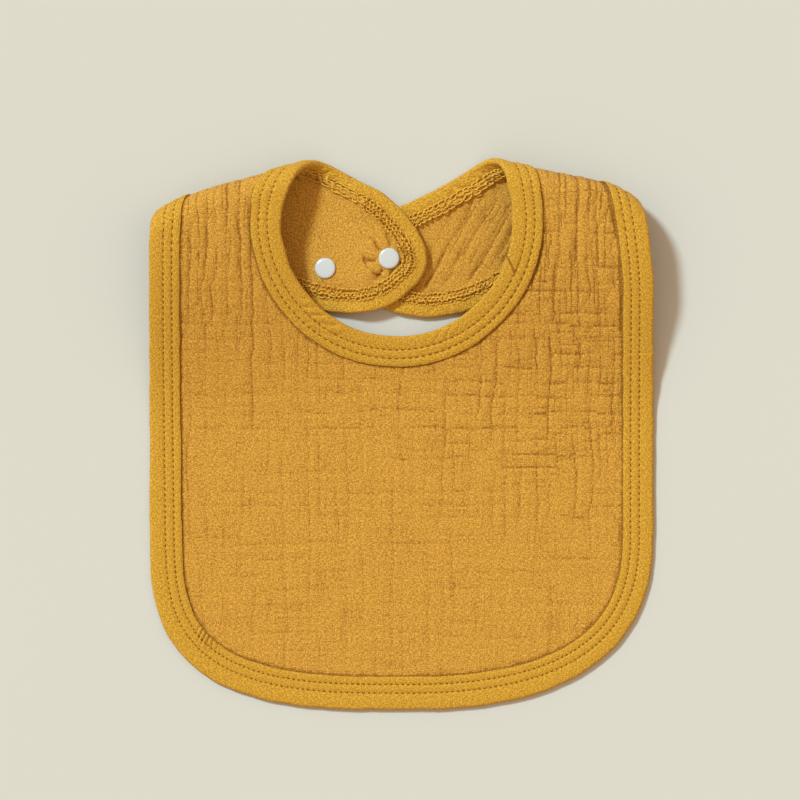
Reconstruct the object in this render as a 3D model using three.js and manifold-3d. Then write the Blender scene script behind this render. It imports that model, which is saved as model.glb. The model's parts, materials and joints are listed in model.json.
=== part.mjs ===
// A baby's bib of crinkled double-layer cotton, bound with bias tape and closed at the back of
// the neck by plastic snaps. It lies face up and snapped shut. Both shoulders are folded back,
// so the two straps lie under the neck opening, the left one on top of the right one.
//
// Each layer is drawn as the flat pattern it is cut to, then folded over the two shoulder lines.
// Units are millimetres: +X to the right, +Y towards the neck, +Z up from the table.

import * as THREE from 'three';
import { mergeVertices } from 'three/addons/utils/BufferGeometryUtils.js';
import Module from 'manifold-3d';

const wasm = await Module();
wasm.setup();

const at2 = (x, y) => new THREE.Vector2(x, y);
const radians = THREE.MathUtils.degToRad;
const { smoothstep, lerp } = THREE.MathUtils;

// ---- Driving dimensions ----

// The layers, measured from the middle of the cloth.
const FABRIC_T = 0.6;
const PLY_GAP = 0.2;
const TAPE_T = 0.6;
const TAPE_GAP = 0.3;
const PANEL_HALF = PLY_GAP / 2 + FABRIC_T;
const TAPE_INNER = PANEL_HALF + TAPE_GAP;
const TAPE_OUTER = TAPE_INNER + TAPE_T;
const TAPE_W = 15.3;
const TAPE_TIP_W = 12.6;
const TAPE_NARROWS_OVER = 25;
const FABRIC_INSET = TAPE_T + TAPE_GAP;

// The flat pattern.
const HALF_WIDTH = 129;
const LEFT_SIDE_TOP_Y = 95;
const RIGHT_SIDE_TOP_Y = 70;
const SIDE_BOTTOM_Y = -48;
const BOTTOM_DEPTH = 92;
const BOTTOM_ROUNDNESS = { left: 3.0, right: 2.5 };
const BOTTOM_STEPS = 16;
const NECK_CENTRE = at2(-2.5, 110.5);
const NECK_R = 59;
const LEFT_TIP_R = 19.5;
const RIGHT_TIP_R = 23.5;
const LEFT_TIP = at2(-42, 215.5);
const RIGHT_TIP = at2(28.9, 222.9);
const LEFT_TIP_MIDDLE = radians(45);
const RIGHT_TIP_MIDDLE = radians(145);
const RIGHT_NECK_JOIN = radians(220);
const QUARTER = Math.PI / 2;

// The two middle control points of each side's curve.
const LEFT_NECK_PULLS = [at2(-18, 174), at2(NECK_CENTRE.x - NECK_R, 138)];
const RIGHT_NECK_PULLS = [at2(NECK_CENTRE.x + NECK_R, 138), at2(37, 181)];
const LEFT_SIDE_PULLS = [at2(-90, 246), at2(-HALF_WIDTH, 165)];
const RIGHT_SIDE_PULLS = [at2(HALF_WIDTH, 130), at2(96, 254)];

// The fold: the cloth turns back round a soft roll, then lies flat underneath.
const FOLD_R = 10.5;
const REST_Z = TAPE_OUTER;
const TOP_Z = REST_Z + 2 * FOLD_R;
const HALF_TURN = Math.PI * FOLD_R;
const ROLL_REACH = FOLD_R + 0.8;
const LEFT_FOLD = { through: at2(-52, 140), angle: radians(16) };
const RIGHT_FOLD = { through: at2(55, 140), angle: radians(-15) };

// The front slopes from the top of the rolls down to the table.
const CREST_Y = 140;
const CREST_SLOPE = Math.tan(radians(16));
const CREST_SOFTNESS = 25;
const CREST_HALF_WIDTH = 53;
const SLOPE_START = 15;
const SLOPE_RUN = 115;
const SLOPE_RUN_LOST_AT_SIDE = 20;

// The left strap climbs over the right one, and its end peels back along a seam line.
const LEFT_LIFT = 6.4;
const LEFT_CLIMB = [-32, 14];
const RIGHT_LIFT = 0.8;
const RIGHT_CLIMB = [22, 50];
const PEEL_LINE = [at2(-36.5, 62.7), at2(-21, 131)];
const BODY_GAP = 0.3;

// How finely the cloth is divided.
const TAB_ROWS = 8;
const LEFT_STRAP_ROWS = 10;
const ROLL_ROWS = 6;
const FRONT_ROWS = 36;
const RIGHT_STRAP_ROWS = 11;
const TIP_CROWDING = 1.4;
const TIP_CUT = 3;
const MIDDLE_COLUMNS = 3;
const MOST_UNDER_TAPE = 0.3;
const ROW_BLEND = 15;
const HALVINGS = 40;
const MERGE_WITHIN = 1e-4;

// The snaps, standard size 16.
const CAP_R = 5.35;
const CAP_H = 1.5;
const CAP_RIM = [[0.3, 0], [0, 0.3], [0.15, 0.85], [0.9, 1.25], [2.6, 1.45]];
const POST_R = 1.2;
const RIVET_R = 1.7;
const RIVET_H = 0.3;
const POST_HOLE_R = 1.5;
const PLATE_R = 4.9;
const PLATE_T = 0.8;
const NUB_R = 2.5;
const NUB_WALL = 0.5;
const NUB_H = 1.2;
const SOCKET_H = 2.4;
const SOCKET_BORE_R = 2.8;
const SOCKET_BEVEL = 0.5;
const STUD_COUNTERSINK = 0.2;
const SNAP_GAP = 0.2;
const SNAP_SIDES = 20;
const DRILL_LENGTH = 8;
const SEAT_STEP = 0.5;
const CLOSED_SNAP = at2(-6.4, 91.3);
const SPARE_SNAP = at2(-38.8, 86.2);

const MATERIALS = {
  muslin: new THREE.MeshStandardMaterial({ color: 0xd2993f, roughness: 0.95, metalness: 0 }),
  binding: new THREE.MeshStandardMaterial({ color: 0xd59f38, roughness: 0.9, metalness: 0 }),
  plastic: new THREE.MeshStandardMaterial({ color: 0xdbdeda, roughness: 0.3, metalness: 0 }),
};

// ---- The flat pattern's two rails ----

// From the left strap's tip, round the neck opening, to the right strap's tip.
function makeNeckRail() {
  const rail = new THREE.Path();
  const join = onCircle(RIGHT_TIP, RIGHT_TIP_R, RIGHT_NECK_JOIN);
  rail.absarc(LEFT_TIP.x, LEFT_TIP.y, LEFT_TIP_R, LEFT_TIP_MIDDLE, 0, true);
  curveOn(rail, LEFT_NECK_PULLS, at2(NECK_CENTRE.x - NECK_R, NECK_CENTRE.y));
  rail.absarc(NECK_CENTRE.x, NECK_CENTRE.y, NECK_R, Math.PI, 2 * Math.PI, false);
  curveOn(rail, RIGHT_NECK_PULLS, join);
  rail.absarc(RIGHT_TIP.x, RIGHT_TIP.y, RIGHT_TIP_R, RIGHT_NECK_JOIN, RIGHT_TIP_MIDDLE, true);
  return rail;
}

// From the left strap's tip, round the outside of the bib, to the right strap's tip.
function makeOuterRail() {
  const rail = new THREE.Path();
  rail.absarc(LEFT_TIP.x, LEFT_TIP.y, LEFT_TIP_R, LEFT_TIP_MIDDLE, QUARTER, false);
  curveOn(rail, LEFT_SIDE_PULLS, at2(-HALF_WIDTH, LEFT_SIDE_TOP_Y));
  for (let step = 0; step <= 2 * BOTTOM_STEPS; step += 1) {
    const point = onBottom((step / BOTTOM_STEPS) * QUARTER);
    rail.lineTo(point.x, point.y);
  }
  rail.lineTo(HALF_WIDTH, RIGHT_SIDE_TOP_Y);
  curveOn(rail, RIGHT_SIDE_PULLS, at2(RIGHT_TIP.x, RIGHT_TIP.y + RIGHT_TIP_R));
  rail.absarc(RIGHT_TIP.x, RIGHT_TIP.y, RIGHT_TIP_R, QUARTER, RIGHT_TIP_MIDDLE, false);
  return rail;
}

function curveOn(rail, [first, second], end) {
  rail.bezierCurveTo(first.x, first.y, second.x, second.y, end.x, end.y);
}

function onCircle(centre, radius, angle) {
  return at2(centre.x + radius * Math.cos(angle), centre.y + radius * Math.sin(angle));
}

// The bottom edge is a superellipse, squarer on the left than on the right.
function onBottom(turn) {
  const sideways = -Math.cos(turn);
  const roundness = sideways < 0 ? BOTTOM_ROUNDNESS.left : BOTTOM_ROUNDNESS.right;
  const reach = Math.abs(sideways) ** (2 / roundness);
  const drop = Math.sin(turn) ** (2 / roundness);
  return at2(Math.sign(sideways) * HALF_WIDTH * reach, SIDE_BOTTOM_Y - BOTTOM_DEPTH * drop);
}

// ---- Folding the pattern ----

function makeFold({ through, angle }, lift) {
  const out = at2(-Math.sin(angle), Math.cos(angle));
  return { out, start: through.clone().addScaledVector(out, -ROLL_REACH), lift };
}

const leftFold = makeFold(LEFT_FOLD, leftLift);
const rightFold = makeFold(RIGHT_FOLD, rightLift);
const foldOf = (point) => (point.x < 0 ? leftFold : rightFold);
const pastFold = (point, fold = foldOf(point)) => point.clone().sub(fold.start).dot(fold.out);

// Where a point seen from above on a folded strap lies in the flat pattern.
function unfold(seen, fold) {
  const inside = pastFold(seen, fold);
  return seen.clone().addScaledVector(fold.out, HALF_TURN - 2 * inside);
}

// How far a pattern point lies past the peel line, towards the left strap's tip.
function pastPeelLine(point) {
  const [low, high] = PEEL_LINE.map((seen) => unfold(seen, leftFold));
  const along = high.sub(low).normalize();
  return along.cross(point.clone().sub(low));
}

function leftLift(point) {
  return LEFT_LIFT * smoothstep(pastPeelLine(point), ...LEFT_CLIMB);
}

function rightLift(point) {
  return RIGHT_LIFT * (1 - smoothstep(point.distanceTo(RIGHT_TIP), ...RIGHT_CLIMB));
}

function frontHeight(point) {
  const spread = Math.hypot(point.x, CREST_SOFTNESS) - CREST_HALF_WIDTH;
  const below = (CREST_Y - CREST_SLOPE * spread - point.y) * Math.cos(LEFT_FOLD.angle);
  const run = SLOPE_RUN - SLOPE_RUN_LOST_AT_SIDE * (point.x / HALF_WIDTH) ** 2;
  const share = THREE.MathUtils.clamp((below - SLOPE_START) / run, 0, 1);
  return REST_Z + FOLD_R * (1 + Math.cos(Math.PI * share));
}

// A pattern point, raised off the middle of the cloth by offset on its face side, in its place.
function foldPoint(point, offset) {
  const fold = foldOf(point);
  const past = pastFold(point, fold);
  if (past <= 0) {
    return new THREE.Vector3(point.x, point.y, frontHeight(point) + offset);
  }
  const low = REST_Z + fold.lift(point);
  if (past >= HALF_TURN) {
    const under = point.clone().addScaledVector(fold.out, HALF_TURN - 2 * past);
    return new THREE.Vector3(under.x, under.y, low - offset);
  }
  const turn = past / FOLD_R;
  const middle = low + ((TOP_Z - low) * (1 + Math.cos(turn))) / 2;
  const rolled = point.clone().addScaledVector(fold.out, (FOLD_R + offset) * Math.sin(turn) - past);
  return new THREE.Vector3(rolled.x, rolled.y, middle + offset * Math.cos(turn));
}

// ---- Rows of cloth between the two rails ----

const neck = { rail: makeNeckRail(), turn: -1 };
const outer = { rail: makeOuterRail(), turn: 1 };
const lengthOf = (side) => side.rail.getLength();
const pointOn = (side, distance) => side.rail.getPoint(distance / lengthOf(side));

// The distance along a rail, between two others, at which height passes through zero.
function crossing(side, from, to, height) {
  const span = [from, to];
  const endsAbove = height(pointOn(side, to)) > 0;
  for (let step = 0; step < HALVINGS; step += 1) {
    const middle = (span[0] + span[1]) / 2;
    const above = height(pointOn(side, middle)) > 0;
    span[above === endsAbove ? 1 : 0] = middle;
  }
  return span[0];
}

const onLeft = (side, height) => crossing(side, 0, lengthOf(side) / 2, height);
const onRight = (side, height) => crossing(side, lengthOf(side) / 2, lengthOf(side), height);
const leftRow = (height) => makeRow(onLeft(neck, height), onLeft(outer, height));
const rightRow = (height) => makeRow(onRight(neck, height), onRight(outer, height));

// How much a row's tape ends follow the row, rather than standing square to the edge.
function rowShare(point) {
  const past = pastFold(point);
  const outsideRoll = Math.max(-past, past - HALF_TURN, 0);
  const nearRoll = 1 - smoothstep(outsideRoll, 0, ROW_BLEND);
  if (point.x > 0 || past < HALF_TURN) {
    return nearRoll;
  }
  return Math.max(nearRoll, 1 - smoothstep(Math.abs(pastPeelLine(point)), 0, ROW_BLEND));
}

// A place on a rail, and the way in from it, scaled to one millimetre square to the edge.
function makeEnd(side, distance, across) {
  const point = pointOn(side, distance);
  const along = side.rail.getTangent(distance / lengthOf(side));
  const square = at2(-side.turn * along.y, side.turn * along.x);
  const inward = square.clone().lerp(across, rowShare(point)).normalize();
  return { point, inward: inward.divideScalar(inward.dot(square)) };
}

function makeRow(neckDistance, outerDistance) {
  const across = pointOn(outer, outerDistance).sub(pointOn(neck, neckDistance)).normalize();
  return {
    neckDistance,
    outerDistance,
    neck: makeEnd(neck, neckDistance, across),
    outer: makeEnd(outer, outerDistance, across.clone().negate()),
  };
}

const inside = (end, distance) => end.point.clone().addScaledVector(end.inward, distance);

// Rows between two rows, with both of them, evenly spaced unless crowding draws them to the first.
function rowsBetween(first, last, count, crowding = 1) {
  const rows = [];
  for (let step = 0; step <= count; step += 1) {
    const share = (step / count) ** crowding;
    const neckDistance = lerp(first.neckDistance, last.neckDistance, share);
    const outerDistance = lerp(first.outerDistance, last.outerDistance, share);
    rows.push(makeRow(neckDistance, outerDistance));
  }
  return rows;
}

// Rows round a shoulder's roll, each at one angle of the turn.
function rollRows(rowFor, fromPast, toPast) {
  const rows = [];
  for (let step = 0; step <= ROLL_ROWS; step += 1) {
    const target = lerp(fromPast, toPast, step / ROLL_ROWS);
    rows.push(rowFor((point) => pastFold(point) - target));
  }
  return rows;
}

const FRONT_END = HALF_TURN / 2 - BODY_GAP / 2;
const STRAP_END = HALF_TURN / 2 + BODY_GAP / 2;

function frontRows() {
  const left = rollRows(leftRow, FRONT_END, 0);
  const right = rollRows(rightRow, 0, FRONT_END);
  return [...left, ...rowsBetween(left.at(-1), right[0], FRONT_ROWS).slice(1, -1), ...right];
}

function tabRows() {
  const seam = leftRow((point) => pastPeelLine(point) - BODY_GAP / 2);
  return rowsBetween(makeRow(TIP_CUT, TIP_CUT), seam, TAB_ROWS, TIP_CROWDING);
}

function leftStrapRows() {
  const seam = leftRow((point) => pastPeelLine(point) + BODY_GAP / 2);
  const roll = rollRows(leftRow, HALF_TURN, STRAP_END);
  return [...rowsBetween(seam, roll[0], LEFT_STRAP_ROWS).slice(0, -1), ...roll];
}

function rightStrapRows() {
  const tip = makeRow(lengthOf(neck) - TIP_CUT, lengthOf(outer) - TIP_CUT);
  const roll = rollRows(rightRow, HALF_TURN, STRAP_END);
  return [...rowsBetween(tip, roll[0], RIGHT_STRAP_ROWS, TIP_CROWDING).slice(0, -1), ...roll];
}

// ---- Solids made of rows ----

// A closed skin round a list of loops. order says how far across the band each loop point is,
// so that layers lying on each other split their quads along the same diagonals.
function bandGeometry(loops, section, order) {
  const size = section.length;
  const indices = [];
  for (let row = 0; row + 1 < loops.length; row += 1) {
    for (let side = 0; side < size; side += 1) {
      const next = (side + 1) % size;
      const [a, b] = [row * size + side, row * size + next];
      const [d, c] = [a + size, b + size];
      const forwards = order[side] <= order[next];
      indices.push(...(forwards ? [a, b, c, a, c, d] : [a, b, d, b, c, d]));
    }
  }
  const lastRow = (loops.length - 1) * size;
  for (const triangle of sectionTriangles(section)) {
    indices.push(...triangle.toReversed());
    indices.push(...triangle.map((corner) => corner + lastRow));
  }
  const geometry = new THREE.BufferGeometry().setFromPoints(loops.flat());
  geometry.setIndex(indices);
  return faceOut(geometry);
}

// The triangles of a section's outline, each turning the way the outline turns.
function sectionTriangles(section) {
  const turnsLeft = THREE.ShapeUtils.area(section) > 0;
  return THREE.ShapeUtils.triangulateShape(section, []).map((triangle) => {
    const corners = triangle.map((corner) => section[corner]);
    const agrees = THREE.ShapeUtils.area(corners) > 0 === turnsLeft;
    return agrees ? triangle : triangle.toReversed();
  });
}

function faceOut(geometry) {
  geometry.deleteAttribute('normal');
  geometry.deleteAttribute('uv');
  const merged = mergeVertices(geometry, MERGE_WITHIN);
  if (signedVolume(merged) < 0) {
    merged.index.array.reverse();
  }
  merged.computeVertexNormals();
  return merged;
}

function signedVolume(geometry) {
  const corner = (index) => new THREE.Vector3().fromBufferAttribute(geometry.attributes.position, index);
  const order = geometry.index.array;
  let volume = 0;
  for (let first = 0; first < order.length; first += 3) {
    const [a, b, c] = [0, 1, 2].map((step) => corner(order[first + step]));
    volume += a.dot(b.cross(c)) / 6;
  }
  return volume;
}

// One ply of cloth between two heights above the middle of the cloth.
function plyGeometry(rows, bottom, top) {
  const loops = rows.map((row) => {
    const columns = plyColumns(row);
    const upper = columns.map((point) => foldPoint(point, top));
    const lower = columns.map((point) => foldPoint(point, bottom));
    return [...upper, ...lower.reverse()];
  });
  const across = [...Array(MIDDLE_COLUMNS + 4).keys()];
  const upperSection = across.map((column) => at2(column, top));
  const lowerSection = across.map((column) => at2(column, bottom)).reverse();
  const section = [...upperSection, ...lowerSection];
  return bandGeometry(loops, section, section.map((point) => point.x));
}

function plyColumns(row) {
  const most = MOST_UNDER_TAPE * row.neck.point.distanceTo(row.outer.point);
  const first = inside(row.neck, Math.min(tapeWidth(row.neck.point), most));
  const last = inside(row.outer, Math.min(tapeWidth(row.outer.point), most));
  const middle = [];
  for (let column = 1; column <= MIDDLE_COLUMNS; column += 1) {
    middle.push(first.clone().lerp(last, column / (MIDDLE_COLUMNS + 1)));
  }
  return [inside(row.neck, FABRIC_INSET), first, ...middle, last, inside(row.outer, FABRIC_INSET)];
}

// The tape is narrower where it goes round a strap's tip.
function tapeWidth(point) {
  const past = pastFold(point) - HALF_TURN;
  return lerp(TAPE_W, TAPE_TIP_W, smoothstep(past, 0, TAPE_NARROWS_OVER));
}

// The tape's section: distance in from the edge, and height off the middle of the cloth.
function tapeSection(width) {
  const round = TAPE_OUTER / 2;
  return [
    at2(width, TAPE_OUTER),
    at2(round, TAPE_OUTER),
    at2(0, round),
    at2(0, -round),
    at2(round, -TAPE_OUTER),
    at2(width, -TAPE_OUTER),
    at2(width, -TAPE_INNER),
    at2(TAPE_T, -TAPE_INNER),
    at2(TAPE_T, TAPE_INNER),
    at2(width, TAPE_INNER),
  ];
}

// Tape folded over an edge, along a list of rail places. across is 1 where the places run along
// the neck, -1 along the outer edge, and 0 where they go round a tip from one to the other.
function tapeGeometry(ends, across) {
  const loops = ends.map((end) =>
    tapeSection(tapeWidth(end.point)).map((place) => foldPoint(inside(end, place.x), place.y)),
  );
  const section = tapeSection(TAPE_W);
  return bandGeometry(loops, section, section.map((place) => place.x * across));
}

// The rail places round a tip, from one side of the strap to the other.
function roundTip(rows, tipDistance) {
  const [neckTip, outerTip] = [tipDistance(neck), tipDistance(outer)];
  const across = at2(1, 0);
  const tip = makeEnd(outer, outerTip, across);
  const square = makeEnd(neck, neckTip, across);
  tip.inward.add(square.inward).multiplyScalar(0.5);
  return [...rows.map((row) => row.neck).reverse(), tip, ...rows.map((row) => row.outer)];
}

// ---- Cutting ----

function toManifold(geometry) {
  const mesh = new wasm.Mesh({
    numProp: 3,
    vertProperties: new Float32Array(geometry.attributes.position.array),
    triVerts: new Uint32Array(geometry.index.array),
  });
  return new wasm.Manifold(mesh);
}

function fromManifold(solid) {
  const { vertProperties, triVerts } = solid.getMesh();
  const geometry = new THREE.BufferGeometry();
  geometry.setAttribute('position', new THREE.BufferAttribute(vertProperties, 3));
  geometry.setIndex(new THREE.BufferAttribute(triVerts, 1));
  return faceOut(geometry);
}

// A ply with a round hole for each snap's post.
function pierce(geometry, seats) {
  let solid = toManifold(geometry);
  for (const seat of seats) {
    const drill = new THREE.CylinderGeometry(POST_HOLE_R, POST_HOLE_R, DRILL_LENGTH, SNAP_SIDES);
    drill.rotateX(QUARTER);
    drill.applyQuaternion(seat.turn);
    drill.translate(seat.place.x, seat.place.y, seat.place.z);
    solid = solid.subtract(toManifold(faceOut(drill)));
  }
  return fromManifold(solid);
}

// ---- Snaps, each drawn about the middle of the cloth at its seat ----

// A seat is a place on the middle of a strap, with +Z turned to stand square to the cloth.
function makeSeat(seen, fold) {
  const height = (x, y) => foldPoint(unfold(at2(x, y), fold), 0).z;
  const rise = height(seen.x + SEAT_STEP, seen.y) - height(seen.x - SEAT_STEP, seen.y);
  const climb = height(seen.x, seen.y + SEAT_STEP) - height(seen.x, seen.y - SEAT_STEP);
  const normal = new THREE.Vector3(-rise, -climb, 2 * SEAT_STEP).normalize();
  return {
    place: new THREE.Vector3(seen.x, seen.y, height(seen.x, seen.y)),
    turn: new THREE.Quaternion().setFromUnitVectors(new THREE.Vector3(0, 0, 1), normal),
  };
}

function lathe(profile) {
  const geometry = new THREE.LatheGeometry(profile.map(([radius, z]) => at2(radius, z)), SNAP_SIDES);
  geometry.rotateX(QUARTER);
  return faceOut(geometry);
}

// The visible cap with its post, which goes through the cloth and is riveted over.
function capGeometry() {
  const flange = PANEL_HALF + SNAP_GAP;
  const rivetTop = -PANEL_HALF - SNAP_GAP - PLATE_T - SNAP_GAP;
  return lathe([
    [0, rivetTop - RIVET_H],
    [RIVET_R, rivetTop - RIVET_H],
    [RIVET_R, rivetTop],
    [POST_R, rivetTop],
    [POST_R, flange],
    ...CAP_RIM.map(([lost, height]) => [CAP_R - lost, flange + height]),
    [0, flange + CAP_H],
  ]);
}

function socketGeometry() {
  const top = -PANEL_HALF - SNAP_GAP;
  const bottom = top - SOCKET_H;
  return lathe([
    [POST_HOLE_R, top],
    [POST_HOLE_R, top - PLATE_T],
    [SOCKET_BORE_R, top - PLATE_T],
    [SOCKET_BORE_R, bottom],
    [PLATE_R - SOCKET_BEVEL, bottom],
    [PLATE_R, bottom + SOCKET_BEVEL],
    [PLATE_R, top],
    [POST_HOLE_R, top],
  ]);
}

function studGeometry() {
  const top = -PANEL_HALF - SNAP_GAP;
  const bottom = top - PLATE_T;
  return lathe([
    [POST_HOLE_R, top],
    [POST_HOLE_R, bottom + STUD_COUNTERSINK],
    [NUB_R - NUB_WALL, bottom + STUD_COUNTERSINK],
    [NUB_R - NUB_WALL, bottom - NUB_H],
    [NUB_R, bottom - NUB_H],
    [NUB_R, bottom],
    [PLATE_R, bottom],
    [PLATE_R, top],
    [POST_HOLE_R, top],
  ]);
}

// ---- Assembly ----

function addMesh(parent, name, geometry, material) {
  const mesh = new THREE.Mesh(geometry, MATERIALS[material]);
  mesh.name = name;
  parent.add(mesh);
  return mesh;
}

function addPlies(parent, names, rows, seats = []) {
  const [faceName, liningName] = names;
  const face = plyGeometry(rows, PLY_GAP / 2, PANEL_HALF);
  const lining = plyGeometry(rows, -PANEL_HALF, -PLY_GAP / 2);
  addMesh(parent, faceName, pierce(face, seats), 'muslin');
  addMesh(parent, liningName, pierce(lining, seats), 'muslin');
}

function addSnapPart(parent, name, geometry, seat, upsideDown = false) {
  const mesh = addMesh(parent, name, geometry, 'plastic');
  mesh.position.copy(seat.place);
  mesh.quaternion.copy(seat.turn);
  if (upsideDown) {
    mesh.rotateX(Math.PI);
  }
}

function makeFront() {
  const body = new THREE.Group();
  const rows = frontRows();
  addPlies(body, ['front_face_fabric', 'front_lining_fabric'], rows);
  addMesh(body, 'neckline_binding', tapeGeometry(rows.map((row) => row.neck), 1), 'binding');
  addMesh(body, 'outer_edge_binding', tapeGeometry(rows.map((row) => row.outer), -1), 'binding');
  return body;
}

function makeLeftStrap() {
  const body = new THREE.Group();
  const rows = leftStrapRows();
  const seat = makeSeat(SPARE_SNAP, leftFold);
  addPlies(body, ['left_strap_face_fabric', 'left_strap_lining_fabric'], rows, [seat]);
  addMesh(body, 'left_strap_neck_binding', tapeGeometry(rows.map((row) => row.neck), 1), 'binding');
  addMesh(body, 'left_strap_outer_binding', tapeGeometry(rows.map((row) => row.outer), -1), 'binding');
  addSnapPart(body, 'spare_snap_cap', capGeometry(), seat);
  addSnapPart(body, 'spare_snap_socket', socketGeometry(), seat);
  return body;
}

function makeLeftTab() {
  const body = new THREE.Group();
  const rows = tabRows();
  const seat = makeSeat(CLOSED_SNAP, leftFold);
  addPlies(body, ['left_tab_face_fabric', 'left_tab_lining_fabric'], rows, [seat]);
  addMesh(body, 'left_tab_binding', tapeGeometry(roundTip(rows, () => 0), 0), 'binding');
  addSnapPart(body, 'closing_snap_cap', capGeometry(), seat);
  addSnapPart(body, 'closing_snap_socket', socketGeometry(), seat);
  return body;
}

function makeRightStrap() {
  const body = new THREE.Group();
  const rows = rightStrapRows();
  const seat = makeSeat(CLOSED_SNAP, rightFold);
  addPlies(body, ['right_strap_face_fabric', 'right_strap_lining_fabric'], rows, [seat]);
  addMesh(body, 'right_strap_binding', tapeGeometry(roundTip(rows, lengthOf), 0), 'binding');
  addSnapPart(body, 'stud_snap_cap', capGeometry(), seat, true);
  addSnapPart(body, 'snap_stud', studGeometry(), seat, true);
  return body;
}

const group = new THREE.Group();
group.add(makeFront(), makeLeftStrap(), makeLeftTab(), makeRightStrap());

// The origin is on the table, under the middle of the bib.
const middle = new THREE.Box3().setFromObject(group, true).getCenter(new THREE.Vector3());
group.position.set(-middle.x, -middle.y, 0);

export default group;
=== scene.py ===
"""Looks for a baby's bib of crinkled double gauze, bound with tape and closed by plastic snaps.

Every layer is drawn on the flat pattern that it is cut to, in millimetres, then folded into its
place over the two shoulder lines: cloth plies, edge tape, stitches, looper chains and snaps.
"""

import json
import math

import bpy
import numpy as np
from mathutils import Matrix, Vector
from mathutils.kdtree import KDTree

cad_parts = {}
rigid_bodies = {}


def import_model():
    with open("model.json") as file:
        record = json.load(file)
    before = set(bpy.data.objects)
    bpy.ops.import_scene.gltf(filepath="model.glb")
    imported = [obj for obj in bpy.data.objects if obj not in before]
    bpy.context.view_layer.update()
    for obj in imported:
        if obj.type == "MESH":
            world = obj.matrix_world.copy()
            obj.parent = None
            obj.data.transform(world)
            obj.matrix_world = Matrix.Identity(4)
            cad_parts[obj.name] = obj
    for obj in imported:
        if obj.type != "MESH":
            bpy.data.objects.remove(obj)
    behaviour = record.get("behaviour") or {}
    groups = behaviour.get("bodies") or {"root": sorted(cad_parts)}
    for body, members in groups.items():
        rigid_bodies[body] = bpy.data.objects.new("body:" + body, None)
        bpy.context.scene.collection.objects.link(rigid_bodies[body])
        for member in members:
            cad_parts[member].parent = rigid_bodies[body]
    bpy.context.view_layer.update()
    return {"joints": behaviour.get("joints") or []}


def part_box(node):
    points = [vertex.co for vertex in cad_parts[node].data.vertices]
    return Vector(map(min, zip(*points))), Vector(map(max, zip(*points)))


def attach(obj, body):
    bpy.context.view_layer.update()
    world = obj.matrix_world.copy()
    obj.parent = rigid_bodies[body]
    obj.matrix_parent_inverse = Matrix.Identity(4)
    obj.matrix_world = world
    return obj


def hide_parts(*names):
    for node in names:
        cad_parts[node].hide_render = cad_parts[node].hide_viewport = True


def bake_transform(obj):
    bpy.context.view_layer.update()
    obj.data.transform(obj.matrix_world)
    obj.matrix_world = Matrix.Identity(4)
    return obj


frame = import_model()
MM = 0.001

# ---- The frame's places, in millimetres ----


def joint(name):
    """A joint's place and axis, in the plane of the pattern, and its height."""
    found = next(j for j in frame["joints"] if j["name"] == name)
    place = np.array(found["pos_m"]) / MM
    return place[:2], np.array(found["axis"][:2]), place[2]


def box_mm(node):
    low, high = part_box(node)
    return np.array(low) / MM, np.array(high) / MM


def centre_of(node):
    low, high = box_mm(node)
    return (low + high) / 2


OUTER_LOW, OUTER_HIGH = box_mm("outer_edge_binding")
HALF_WIDTH = OUTER_HIGH[0]
BOTTOM_Y = OUTER_LOW[1]

# ---- The layers, measured from the middle of the cloth ----

PLY_FACE = 0.7
TAPE_TOP = 1.6
TAPE_INNER = 0.8
TAPE_RIM = 1.25
TAPE_SUNK = 0.15
TAPE_WIDTH = 15.5
TAPE_BACK_WIDTH = 12.6
EDGE_ROUND = 1.4
INNER_FOLD = 0.9
STITCH_ROWS = (7.2, 11.6)
STITCH_PITCH = 2.9
STITCH_HALF = 0.35 * STITCH_PITCH
STITCH_RADIUS = 0.26
STITCH_SUNK = 0.42
LOOP_COLUMNS = (7.7, 9.4, 11.1)
LOOP_PITCH = 2.5
LOOP_RADII = (1.6, 1.15)
LOOP_THICKNESS = 0.95
SHORTEST_SEWN = 8.0
CLOTH_INSET = 3.0

# The tape is sewn on with more of it outside the stitches along the lower edge.
BOTTOM_SPREAD = 1.4

# Where the neck tape's ends are lapped, as a share of its length.
NECK_JOIN = 0.643

# Where the tape is bunched on the lower left corner and pleated below the spare snap, with
# heights above the bottom edge.
BUNCH = (-97.5, 39.0)
BUNCH_REACH = 8.0
BUNCH_PITCH = 3.6
PLEATS = (-46.0, 200.0)
PLEATS_REACH = 20.0

# ---- The flat pattern: places above the bottom edge, and pairs for the left and right side ----

LEFT_SIDE_TOP = 235.0
RIGHT_SIDE_TOP = 210.0
SIDE_BOTTOM = 92.0
BOTTOM_ROUNDNESS = (3.0, 2.5)
NECK = np.array([-2.5, 250.5])
NECK_R = 59.0
LEFT_TIP_R = 19.5
RIGHT_TIP_R = 23.5
LEFT_TIP = np.array([-42.0, 355.5])
RIGHT_TIP = np.array([28.9, 362.9])
LEFT_TIP_MIDDLE = math.radians(45)
RIGHT_TIP_MIDDLE = math.radians(145)
RIGHT_NECK_JOIN = math.radians(220)
NECK_SIDE_Y = 278.0
NECK_PULLS = ((-18, 314), (37, 321))
SHOULDER_PULLS = ((-90, 386), (96, 394))
SIDE_PULLS_Y = (305.0, 270.0)
SHIFT = np.array([0.0, BOTTOM_Y])
RAIL_STEP = 0.2
CURVE_POINTS = 600
SMOOTHED_OVER = 4.0
LEAN_REACH = 15.0

# ---- The folds ----

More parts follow.
